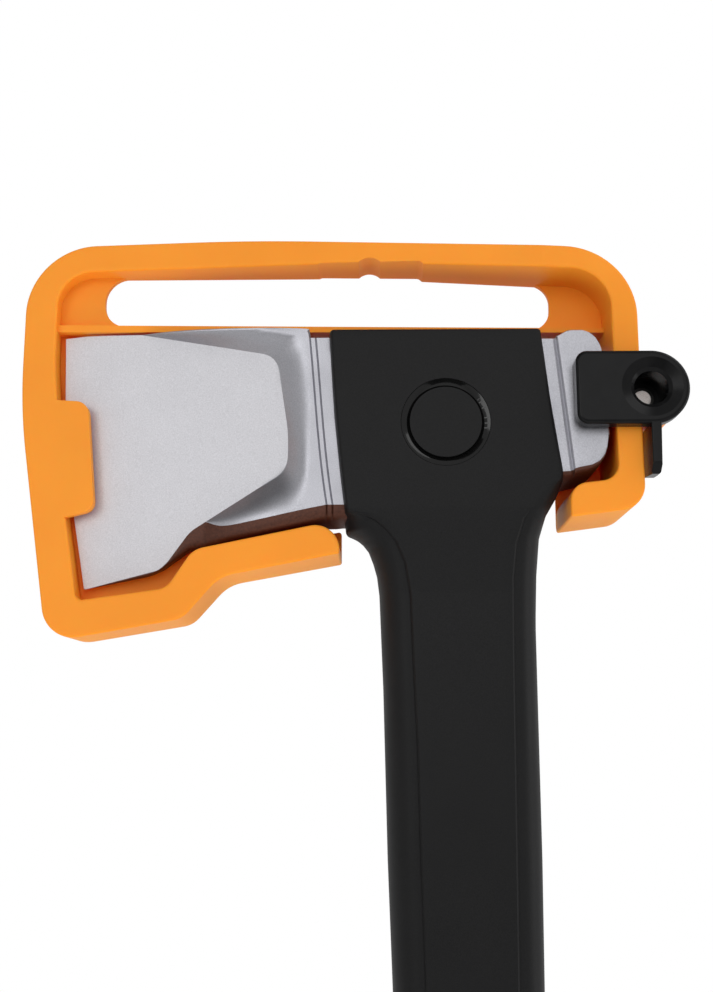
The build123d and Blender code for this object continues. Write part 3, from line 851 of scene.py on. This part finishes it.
def board(name, centre, size, toward, tone):
    """Flat rectangle that faces a point and shows only in reflections."""
    mesh = bmesh.new()
    bmesh.ops.create_grid(mesh, x_segments=2, y_segments=2, size=0.5)
    data = bpy.data.meshes.new(name)
    mesh.to_mesh(data)
    mesh.free()
    panel = bpy.data.objects.new(name, data)
    bpy.context.scene.collection.objects.link(panel)
    look = (Vector(toward) - Vector(centre)).to_track_quat("Z", "Y")
    scale = Matrix.Diagonal((size[0], size[1], 1.0, 1.0))
    panel.matrix_world = Matrix.Translation(centre) @ look.to_matrix().to_4x4() @ scale
    panel.visible_camera = False
    panel.visible_diffuse = False
    panel.visible_shadow = False
    dress(panel, plain(name, tone))


def softbox(name, centre, size, toward, power, glossy):
    data = bpy.data.lights.new(name, "AREA")
    data.shape = "RECTANGLE"
    data.size, data.size_y = size
    data.energy = power
    lamp = bpy.data.objects.new(name, data)
    bpy.context.scene.collection.objects.link(lamp)
    look = (Vector(toward) - Vector(centre)).to_track_quat("-Z", "Y")
    lamp.matrix_world = Matrix.Translation(centre) @ look.to_matrix().to_4x4()
    lamp.visible_camera = False
    lamp.visible_glossy = glossy


# name, azimuth (0 is the camera's side, 90 the poll's), elevation, distance, size, and
# a lamp's radiance and whether it shows in gloss, or a flag's tone
LAMPS = [
    ("key_left", -28.0, 7.0, 1.6, (0.50, 0.78), 2.55, True),
    ("front", 3.0, 14.0, 1.6, (1.0, 0.9), 1.2, True),
    ("fill_low", -5.0, -76.0, 0.78, (0.8, 0.45), 2.7, False),
    ("soft_top", -8.0, 45.0, 0.9, (0.6, 0.5), 0.3, False),
    ("fill_high", 62.0, 42.0, 1.6, (1.0, 0.9), 1.7, True),
    ("rim_right", 84.0, 0.0, 1.6, (0.6, 1.2), 2.0, True),
]
FLAGS = [
    ("flag_high", -66.0, 56.0, 1.6, (1.6, 1.2), 0.04),
    ("flag_left", -98.0, 0.0, 1.6, (1.5, 1.5), 0.85),
    ("flag_under", 4.0, -22.0, 1.6, (0.9, 0.42), 0.03),
]
FLOOR_RADIUS = 2.8


def make_studio():
    low, high = cad_box
    target = Vector(((low.x + high.x) / 2, 0.0, -0.06))

    def place(azimuth, elevation, distance):
        turn, tilt = math.radians(azimuth), math.radians(elevation)
        level = math.cos(tilt)
        away = Vector((math.sin(turn) * level, -math.cos(turn) * level, math.sin(tilt)))
        return target + distance * away

    for name, *spot, size, radiance, glossy in LAMPS:
        power = radiance * math.pi * size[0] * size[1]
        softbox(name, place(*spot), size, target, power, glossy)
    for name, *spot, size, tone in FLAGS:
        board(name, place(*spot), size, target, tone)
    make_floor(low.z - 0.15)


def make_floor(z):
    mesh = bmesh.new()
    bmesh.ops.create_circle(mesh, cap_ends=True, segments=96, radius=FLOOR_RADIUS)
    data = bpy.data.meshes.new("floor")
    mesh.to_mesh(data)
    mesh.free()
    floor = bpy.data.objects.new("floor", data)
    floor.location = (0.0, 0.0, z)
    bpy.context.scene.collection.objects.link(floor)
    dress(floor, plain("floor_paint", 0.88))


AMBIENT = 0.60


def make_world():
    """White to the camera, dimmer as a light."""
    world = bpy.data.worlds.new("studio")
    bpy.context.scene.world = world
    world.use_nodes = True
    nodes, links = world.node_tree.nodes, world.node_tree.links
    background = nodes["Background"]
    background.inputs["Color"].default_value = (1.0, 1.0, 1.0, 1.0)
    path = nodes.new("ShaderNodeLightPath")
    strength = nodes.new("ShaderNodeMapRange")
    strength.inputs["To Min"].default_value = AMBIENT
    strength.inputs["To Max"].default_value = 1.0
    links.new(path.outputs["Is Camera Ray"], strength.inputs["Value"])
    links.new(strength.outputs["Result"], background.inputs["Strength"])
    bpy.context.scene.view_settings.view_transform = "Standard"


black = handle_plastic()
rubber = soft_grip()
ring_finish = gloss_ring()
for piece, node, slot, finishes in (
    # the head's third finish paints the shade and the orange reflection under it
    (make_head(), "axe_head", "head_steel", (silver_paint(), blasted_bevel(), underside_painted_shade())),
    (make_handle(), "handle_shell", "handle_composite", (black,)),
    (make_grip(), "grip_sleeve", "grip_rubber", (rubber,)),
    (make_cap(), "end_cap", "handle_composite", (black,)),
    (make_badge("badge_dish_front", -1), "badge_ring_front", "badge_gloss", (ring_finish,)),
    (make_badge("badge_dish_back", 1), "badge_ring_back", "badge_gloss", (ring_finish,)),
):
    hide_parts(node)
    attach(piece, "axe")
    dress(piece, *finishes)
steel = rivet_steel()
for node, finish in (("sheath_body", orange_plastic()), ("lock_lever", lock_plastic()),
                     ("lock_rivet", steel), ("lock_washer", steel)):
    dress(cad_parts[node], finish)
make_camera()
make_world()
make_studio()
